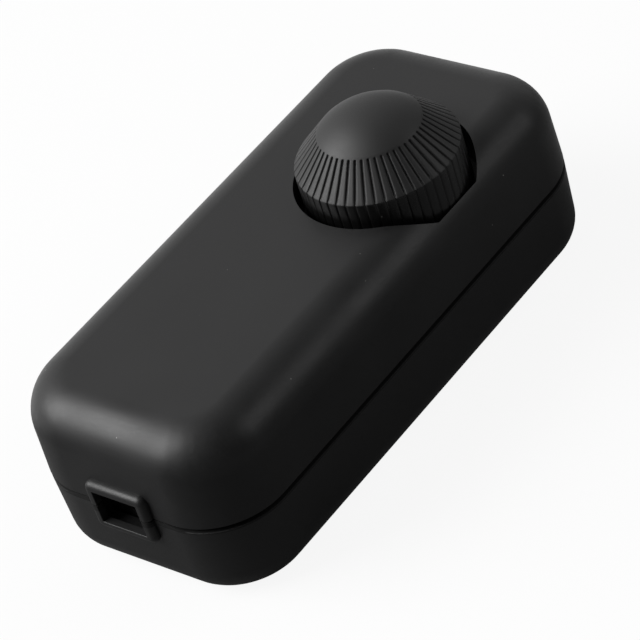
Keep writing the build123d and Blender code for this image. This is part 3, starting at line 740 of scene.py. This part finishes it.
# Circuit board
# A drilled board of brown phenolic paper laminate on the base's four posts, held by three short screws.
# All the electrical parts stand on it, with their leads through its holes.
def laminate():
    """Pressed paper and resin: long faint fibres, small dark flecks and a slight gloss."""
    light_brown = (0.40, 0.28, 0.12)
    dark_brown = (0.25, 0.16, 0.06)
    fleck_brown = (0.12, 0.07, 0.03)
    finish = Finish("phenolic laminate", (0.33, 0.22, 0.09), 0.42)
    fibre = finish.noise(0.5 * mm, detail=4.0, rough=0.6, stretch=(0.25, 1.0, 1.0))
    fleck = finish.spread(finish.cells(0.8 * mm), 0.05, 0.12, 0.6, 0.0)
    body = finish.blend(finish.mottle(fibre), dark_brown, light_brown)
    finish.feed(Base_Color=finish.blend(fleck, body, fleck_brown))
    finish.feed(Roughness=finish.mottle(fibre, 0.36, 0.52))
    finish.bump((fibre, 0.010 * mm))
    return finish.material


coat(laminate(), "circuit_board")
board_low, board_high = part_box("circuit_board")
board_left, board_front, board_bottom = board_low / mm
board_right, board_back, board_top = board_high / mm
left_post_x = board_left + 3.0
left_post_inset = 3.2
right_post_x = board_right - 2.8
right_post_inset = 2.3
driven_screws(
    "board_screws",
    screw_blank(head_radius=1.9, head_height=1.3, shank_radius=1.1, reach=4.2, pitch=0.8),
    [
        (left_post_x, board_front + left_post_inset, board_top),
        (left_post_x, board_back - left_post_inset, board_top),
        (right_post_x, board_front + right_post_inset, board_top),
    ],
    lean=0.0,
    spin=pi / 2,
    seed=8,
)


# Potentiometer
# A sealed can pressed from zinc plated steel, with a bushing that a thin nut draws up on its washer.
# Its turned aluminium shaft carries the dial and turns with it.
def turned_aluminium():
    """Aluminium from the lathe, with fine tool rings along its length."""
    bright = (0.70, 0.70, 0.71)
    finish = Finish("turned aluminium", bright, 0.34, metallic=1.0)
    ring = finish.noise(0.16 * mm, stretch=(0.04, 0.04, 1.0))
    cloud = finish.noise(1.4 * mm)
    finish.feed(Base_Color=finish.blend(finish.mottle(cloud), shaded(bright, 0.82), bright))
    finish.feed(Roughness=finish.mottle(ring, 0.26, 0.42))
    finish.bump((ring, 0.004 * mm))
    return finish.material


nickel = plated("nickel on brass", (0.66, 0.60, 0.45), tint=(0.60, 0.50, 0.32), roughness=0.28)
coat(turned_aluminium(), "potentiometer_shaft")
coat(zinc_plate, "potentiometer_can", "potentiometer_washer")
coat(nickel, "potentiometer_nut")


# Terminal blocks
# Two blocks moulded in green plastic, one for the supply and one for the lamp, each with two poles.
# A nickelled brass cage with a slotted screw grips each wire.
def moulded_colour(name, colour, roughness, lead_top=None):
    """Coloured moulding with a faint grain; below lead_top, in millimetres, it is tinned wire."""
    finish = Finish(name, colour, roughness)
    cloud = finish.noise(2.5 * mm)
    grain = finish.noise(0.18 * mm)
    shade = finish.spread(cloud * 0.7 + grain * 0.3, 0.35, 0.65)
    body = finish.blend(shade, shaded(colour, 0.82), shaded(colour, 1.15))
    rough = finish.spread(cloud + grain, 0.75, 1.25, roughness - 0.05, roughness + 0.08)
    if lead_top is None:
        finish.feed(Base_Color=body, Roughness=rough)
    else:
        wire = finish.axis("Z") < lead_top * mm
        finish.feed(Base_Color=finish.blend(wire, body, tinned), Roughness=rough, Metallic=wire)
    finish.bump((cloud, 0.006 * mm), (grain, 0.003 * mm))
    return finish.material


tinned = (0.66, 0.66, 0.65)
green_moulding = moulded_colour("green moulding", (0.045, 0.19, 0.075), roughness=0.40)
coat(green_moulding, "terminal_block_input", "terminal_block_output")
coat(nickel, "terminal_cages")
coat(zinc_plate, "terminal_screws")


# Triac and heat sink
# The power switch, moulded in black epoxy round a tinned metal tab, stands against a sheet aluminium plate.
# One screw clamps its tab to the plate, and both are soldered in the board.
def power_switch():
    """Matt epoxy case, with metal above and below it."""
    lead_length = 1.6
    case_height = 9.2
    case_bottom = board_top + lead_length
    case_top = case_bottom + case_height
    epoxy = (0.022, 0.022, 0.023)
    finish = Finish("black epoxy and tab", epoxy, 0.55)
    grain = finish.noise(0.12 * mm, detail=3.0)
    height = finish.axis("Z")
    metal = (height > case_top * mm) + (height < case_bottom * mm)
    body = finish.blend(finish.mottle(grain), epoxy, (0.040, 0.040, 0.041))
    finish.feed(Base_Color=finish.blend(metal, body, tinned), Metallic=metal)
    finish.feed(Roughness=finish.mottle(grain, 0.50, 0.62) - metal * 0.24)
    finish.bump((grain, 0.006 * mm))
    return finish.material


def rolled_sheet():
    """Bare aluminium sheet with the long fine lines of rolling."""
    bright = (0.72, 0.72, 0.73)
    dull = (0.60, 0.60, 0.61)
    finish = Finish("rolled aluminium", bright, 0.36, metallic=1.0)
    line = finish.noise(0.10 * mm, detail=3.0, rough=0.6, stretch=(0.03, 1.0, 1.0))
    cloud = finish.noise(3.0 * mm)
    finish.feed(Base_Color=finish.blend(finish.mottle(cloud), dull, bright))
    finish.feed(Roughness=finish.mottle(line, 0.28, 0.46))
    finish.bump((line, 0.003 * mm))
    return finish.material


coat(power_switch(), "triac")
coat(rolled_sheet(), "heat_sink")
sink_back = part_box("heat_sink")[1].y / mm
screw_low, screw_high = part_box("heat_sink_screw")
screw_middle = (screw_low + screw_high) / 2 / mm
tab_thickness = 1.3
sheet_thickness = 1.5
grip = tab_thickness + sheet_thickness
driven_screws(
    "heat_sink_screw",
    screw_blank(head_radius=2.75, head_height=2.0, shank_radius=1.5, reach=grip, pitch=0.7),
    [(screw_middle.x, sink_back - grip, screw_middle.z)],
    lean=pi / 2,
    spin=0.0,
    seed=1,
)


# Suppression choke
# A ring of sintered ferrite wound with a single layer of enamelled copper wire over most of its turn.
# The two ends of the wire go down through the board and hold it there.
def sintered():
    """Dark grey ceramic with fine pores."""
    finish = Finish("sintered ferrite", (0.075, 0.075, 0.080), 0.55)
    pore = finish.spread(finish.cells(0.25 * mm), 0.0, 0.5)
    cloud = finish.noise(1.5 * mm)
    body = finish.blend(finish.mottle(cloud), (0.055, 0.055, 0.060), (0.10, 0.10, 0.105))
    finish.feed(Base_Color=body, Roughness=finish.mottle(cloud, 0.48, 0.64))
    finish.bump((pore, 0.010 * mm))
    return finish.material


def enamelled():
    """Copper wire under clear amber enamel, glossy and a little uneven."""
    copper = (0.62, 0.27, 0.10)
    amber = (0.48, 0.18, 0.06)
    finish = Finish("enamelled copper", copper, 0.30, metallic=1.0)
    cloud = finish.noise(0.8 * mm, detail=3.0)
    finish.feed(Base_Color=finish.blend(finish.mottle(cloud), amber, copper))
    finish.feed(Roughness=finish.mottle(cloud, 0.24, 0.38), Coat_Weight=0.6)
    finish.bump((cloud, 0.004 * mm))
    return finish.material


def wire_pattern():
    """Round wire along a line of points, closed at both ends."""
    drawn = Pattern("drawn wire", {"Wire Radius": "Float", "Sides": "Int", "Finish": "Material"})
    line = drawn.node("GeometryNodeMeshToCurve", None, {"Mesh": drawn.given("Geometry")})
    values = {"Resolution": drawn.given("Sides"), "Radius": drawn.given("Wire Radius")}
    section = drawn.node("GeometryNodeCurvePrimitiveCircle", None, values)
    values = {"Curve": line, "Profile Curve": section, "Fill Caps": True}
    wire = drawn.node("GeometryNodeCurveToMesh", None, values)
    drawn.finish(drawn.node("GeometryNodeSetShadeSmooth", None, {"Geometry": wire}), drawn.given("Finish"))
    return drawn


def winding_line():
    """Points of the wire: up from the board, round and round the ring, and down again."""
    ring_low, ring_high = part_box("choke_core")
    centre = (ring_low + ring_high) / 2 / mm
    outer = (ring_high.x - ring_low.x) / 2 / mm + wire_stand_off
    inner = ring_bore - wire_stand_off
    low = ring_low.z / mm - wire_stand_off
    high = ring_high.z / mm + wire_stand_off
    corners = [
        (outer - wire_bend, low + wire_bend, -pi / 2),
        (outer - wire_bend, high - wire_bend, 0.0),
        (inner + wire_bend, high - wire_bend, pi / 2),
        (inner + wire_bend, low + wire_bend, pi),
    ]
    loop = []
    for radius, height, start in corners:
        for step in range(4):
            angle = start + pi / 2 * step / 3
            loop.append((radius + wire_bend * cos(angle), height + wire_bend * sin(angle)))
    foot = board_bottom - wire_below_board
    start = pi + (2 * pi - wound) / 2
    total = turn_count * len(loop)
    line = [(outer, start, foot), (outer, start, low - lead_in)]
    for number in range(2, total):
        radius, height = loop[number % len(loop)]
        line.append((radius, start + wound * number / total, height))
    line += [(outer, start + wound, low + wire_bend), (outer, start + wound, foot)]
    return [(centre.x + r * cos(a), centre.y + r * sin(a), z) for r, a, z in line]


coat(sintered(), "choke_core")
ring_bore = 2.9
wound = radians(300)
turn_count = 14
wire_radius = 0.44
wire_stand_off = 0.50
wire_bend = 0.65
wire_sides = 10
lead_in = 0.1
wire_below_board = 1.2
winding_mesh = bpy.data.meshes.new("choke_winding_turns")
winding_points = [Vector(point) * mm for point in winding_line()]
winding_steps = [(number, number + 1) for number in range(len(winding_points) - 1)]
winding_mesh.from_pydata(winding_points, winding_steps, [])
winding = in_scene("choke_winding_turns", winding_mesh)
wire_pattern().run(winding, Wire_Radius=wire_radius * mm, Sides=wire_sides, Finish=enamelled())
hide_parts("choke_winding")
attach(winding, "housing")


# Capacitors
# A flat box of glossy yellow plastic beside the choke, and a small red one that sets the timing.
# Their cases are filled with resin and stand on tinned leads.
yellow_case = moulded_colour("yellow case", (0.72, 0.50, 0.05), roughness=0.24, lead_top=board_top)
red_case = moulded_colour("red case", (0.44, 0.055, 0.035), roughness=0.24, lead_top=board_top)
coat(yellow_case, "film_capacitor")
coat(red_case, "timing_capacitor")


# Diac and resistors
# Small round parts lying in a row on the board, with tinned leads bent down through it.
# The resistors are lacquered and carry the usual colour rings; the diac is glass under blue lacquer.
def lacquered(name, colour, half_length, rings):
    """Glossy lacquer with colour rings round it, and tinned wire beyond its ends."""
    ring_half = 0.28
    row_half = 1.5
    finish = Finish(name, colour, 0.26)
    cloud = finish.noise(0.7 * mm)
    along_row = finish.axis("X", centre=((axial_low.x + axial_high.x) / 2, 0.0, 0.0))
    across = finish.axis("Y")
    body = finish.blend(finish.mottle(cloud), shaded(colour, 0.85), colour)
    for row, offset, paint in rings:
        painted = (along_row > (offset - ring_half) * mm) * (along_row < (offset + ring_half) * mm)
        painted = painted * (across > (row - row_half) * mm) * (across < (row + row_half) * mm)
        body = finish.blend(painted, body, paint)
    wire = (along_row > half_length * mm) + (along_row < -half_length * mm)
    finish.feed(Base_Color=finish.blend(wire, body, tinned), Metallic=wire)
    finish.feed(Roughness=finish.mottle(cloud, 0.20, 0.34))
    finish.bump((cloud, 0.010 * mm))
    return finish.material


axial_low, axial_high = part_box("resistors")
brown_ring = (0.12, 0.045, 0.02)
black_ring = (0.015, 0.015, 0.015)
red_ring = (0.42, 0.02, 0.02)
orange_ring = (0.75, 0.22, 0.03)
yellow_ring = (0.75, 0.55, 0.05)
gold_ring = (0.50, 0.36, 0.12)
ring_offsets = (-2.1, -1.0, 0.1, 2.1)
ring_rows = [
    (7.6, (yellow_ring, brown_ring, orange_ring, gold_ring)),
    (10.8, (brown_ring, black_ring, orange_ring, gold_ring)),
    (14.0, (red_ring, red_ring, brown_ring, gold_ring)),
]
resistor_rings = [
    (row, offset, paint)
    for row, paints in ring_rows
    for offset, paint in zip(ring_offsets, paints)
]
diac_rings = [(4.6, -1.2, black_ring)]
beige_lacquer = lacquered("resistor lacquer", (0.60, 0.46, 0.28), half_length=3.15, rings=resistor_rings)
blue_lacquer = lacquered("diac lacquer", (0.06, 0.15, 0.42), half_length=2.1, rings=diac_rings)
coat(beige_lacquer, "resistors")
coat(blue_lacquer, "diac")


# Fuse
# A glass tube with nickelled end caps, pressed into two spring clips of nickelled brass on the board.
# It can be pulled out and changed when the cover is off.
def glass_and_caps():
    """Clear glass in the middle and bright metal over both ends."""
    fuse_low, fuse_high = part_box("fuse")
    fuse_middle = (fuse_low.x + fuse_high.x) / 2
    glass_half = 5.0 * mm
    cap_bright = (0.66, 0.64, 0.58)
    cap_dull = (0.56, 0.52, 0.44)
    finish = Finish("fuse glass and caps", (0.90, 0.93, 0.93), 0.04)
    finish.feed(Transmission_Weight=1.0, IOR=1.48)
    smear = finish.noise(1.2 * mm)
    finish.feed(Roughness=finish.mottle(smear, 0.02, 0.10))
    values = {
        "Base Color": finish.blend(finish.mottle(smear), cap_dull, cap_bright),
        "Metallic": 1.0,
        "Roughness": finish.mottle(smear, 0.22, 0.38),
    }
    cap = finish.node("ShaderNodeBsdfPrincipled", None, values)
    along_tube = finish.axis("X", centre=(fuse_middle, 0.0, 0.0))
    finish.give_way((along_tube > glass_half) + (along_tube < -glass_half), cap)
    return finish.material


coat(glass_and_caps(), "fuse")
coat(nickel, "fuse_clips")


# Studio
# A pale table top under one large soft light from behind on the left, and a weak one low on the right.
# The white backdrop stands behind the table, and the room in front of it and overhead is dimmer.
def ray_mask(tree, kind):
    """One where a ray of this kind arrives, and nothing elsewhere."""
    return tree.node("ShaderNodeLightPath", output=f"Is {kind} Ray")


def table_top():
    """Pale floor that keeps the object's soft shadow, with painted shade and a painted backdrop reflection.
    """
    radius = 0.60
    below_object = 0.02 * mm
    disc = bmesh.new()
    bmesh.ops.create_circle(disc, cap_ends=True, radius=radius, segments=96)
    bmesh.ops.translate(disc, verts=disc.verts, vec=(0, 0, -below_object))
    mesh = bpy.data.meshes.new("table")
    disc.to_mesh(mesh)
    disc.free()

    pale = (0.80, 0.80, 0.80)
    painted_shadow_grey = (0.075, 0.075, 0.075)
    light_grey = (0.22, 0.22, 0.22)
    paper = Finish("pale table", pale, 0.9)
    paper.feed(Specular_IOR_Level=0.0)
    beside = paper.axis("X")
    beyond = paper.axis("Y")
    # Painted shadow: to every ray but the camera's the floor is dark grey near the object and lighter
    # farther out.
    lighter = paper.spread(beyond + 0.5 * beside, -65 * mm, -10 * mm)
    lighter = lighter + paper.spread(beyond, -95 * mm, -55 * mm, 1.0, 0.0)
    painted_floor_shade = paper.blend(lighter, painted_shadow_grey, light_grey)
    camera_ray = ray_mask(paper, "Camera")
    paper.feed(Base_Color=paper.blend(camera_ray, painted_floor_shade, pale))
    # Painted reflection: behind the object the floor glows white to reflected rays, standing in for the
    # backdrop.
    painted_backdrop_glow = paper.spread(beyond + 0.8 * beside, 20 * mm, 50 * mm, 0.02, 0.98)
    painted_backdrop_glow = painted_backdrop_glow * paper.spread(beyond - 0.6 * beside, -56 * mm, -28 * mm)
    seen = (camera_ray + ray_mask(paper, "Transmission")) * 0.90
    white = paper.node("ShaderNodeEmission", None, {"Strength": 1.0})
    paper.give_way(seen + ray_mask(paper, "Glossy") * painted_backdrop_glow, white)
    mesh.materials.append(paper.material)
    return in_scene("table", mesh)


def surroundings():
    """White to the eye, and in reflections brightest towards the backdrop; dim as a lamp."""
    lamp = 0.35
    backdrop = Vector((0.25, 0.95, 0.15)).normalized()
    world = bpy.data.worlds.new("studio")
    world.use_nodes = True
    bpy.context.scene.world = world
    room = NodeTree(world.node_tree)
    towards = room.node("ShaderNodeTexCoord", output="Generated")
    values = {"Vector": towards, "Vector_001": backdrop}
    facing = room.node("ShaderNodeVectorMath", {"operation": "DOT_PRODUCT"}, values, "Value")
    reflected = room.spread(facing, -0.20, 1.0, 0.06, 1.12)
    seen = ray_mask(room, "Camera") + ray_mask(room, "Transmission")
    strength = lamp + seen * (1.0 - lamp) + ray_mask(room, "Glossy") * (reflected - lamp)
    background = room.node("ShaderNodeBackground", None, {"Strength": strength})
    output = room.tree.nodes.new("ShaderNodeOutputWorld")
    room.connect(output.inputs["Surface"], background)


def soft_light(name, towards, distance, width, power):
    """Square soft light that stands off in a direction and faces the object."""
    lamp = bpy.data.lights.new(name, "AREA")
    lamp.shape = "SQUARE"
    lamp.size = width
    lamp.energy = power
    away = Vector(towards).normalized()
    stand = in_scene(name, lamp)
    stand.location = away * distance
    stand.rotation_euler = away.to_track_quat("Z", "Y").to_euler()


table_top()
surroundings()
soft_light("key light", towards=(-0.52, 0.58, 0.63), distance=1.20, width=0.86, power=18.8)
soft_light("low light", towards=(0.52, -0.65, 0.50), distance=0.70, width=0.38, power=0.72)

azimuth = radians(-41.273)
elevation = radians(38.308)
roll = radians(-18.985)
camera_distance = 499.291 * mm
camera_target = Vector((0, 0, 12.0 * mm))
pixels_per_mm = 6.865
image_width = 640
sensor = 36.0
shift_pixels = (-4.831, -4.332)
back = Vector((sin(azimuth) * cos(elevation), -cos(azimuth) * cos(elevation), sin(elevation)))
level_right = (-back).cross(Vector((0, 0, 1))).normalized()
level_up = level_right.cross(-back)
right = level_right * cos(roll) + level_up * sin(roll)
up = level_up * cos(roll) - level_right * sin(roll)
lens = bpy.data.cameras.new("camera")
lens.sensor_width = sensor
lens.lens = pixels_per_mm * camera_distance / mm / image_width * sensor
lens.shift_x = -shift_pixels[0] / image_width
lens.shift_y = shift_pixels[1] / image_width
lens.clip_start = 0.01
lens.clip_end = 20.0
camera = in_scene("camera", lens)
camera_turn = Matrix((right, up, back)).transposed().to_4x4()
camera.matrix_world = Matrix.Translation(camera_target + back * camera_distance) @ camera_turn
bpy.context.scene.camera = camera
bpy.context.scene.view_settings.view_transform = "Standard"
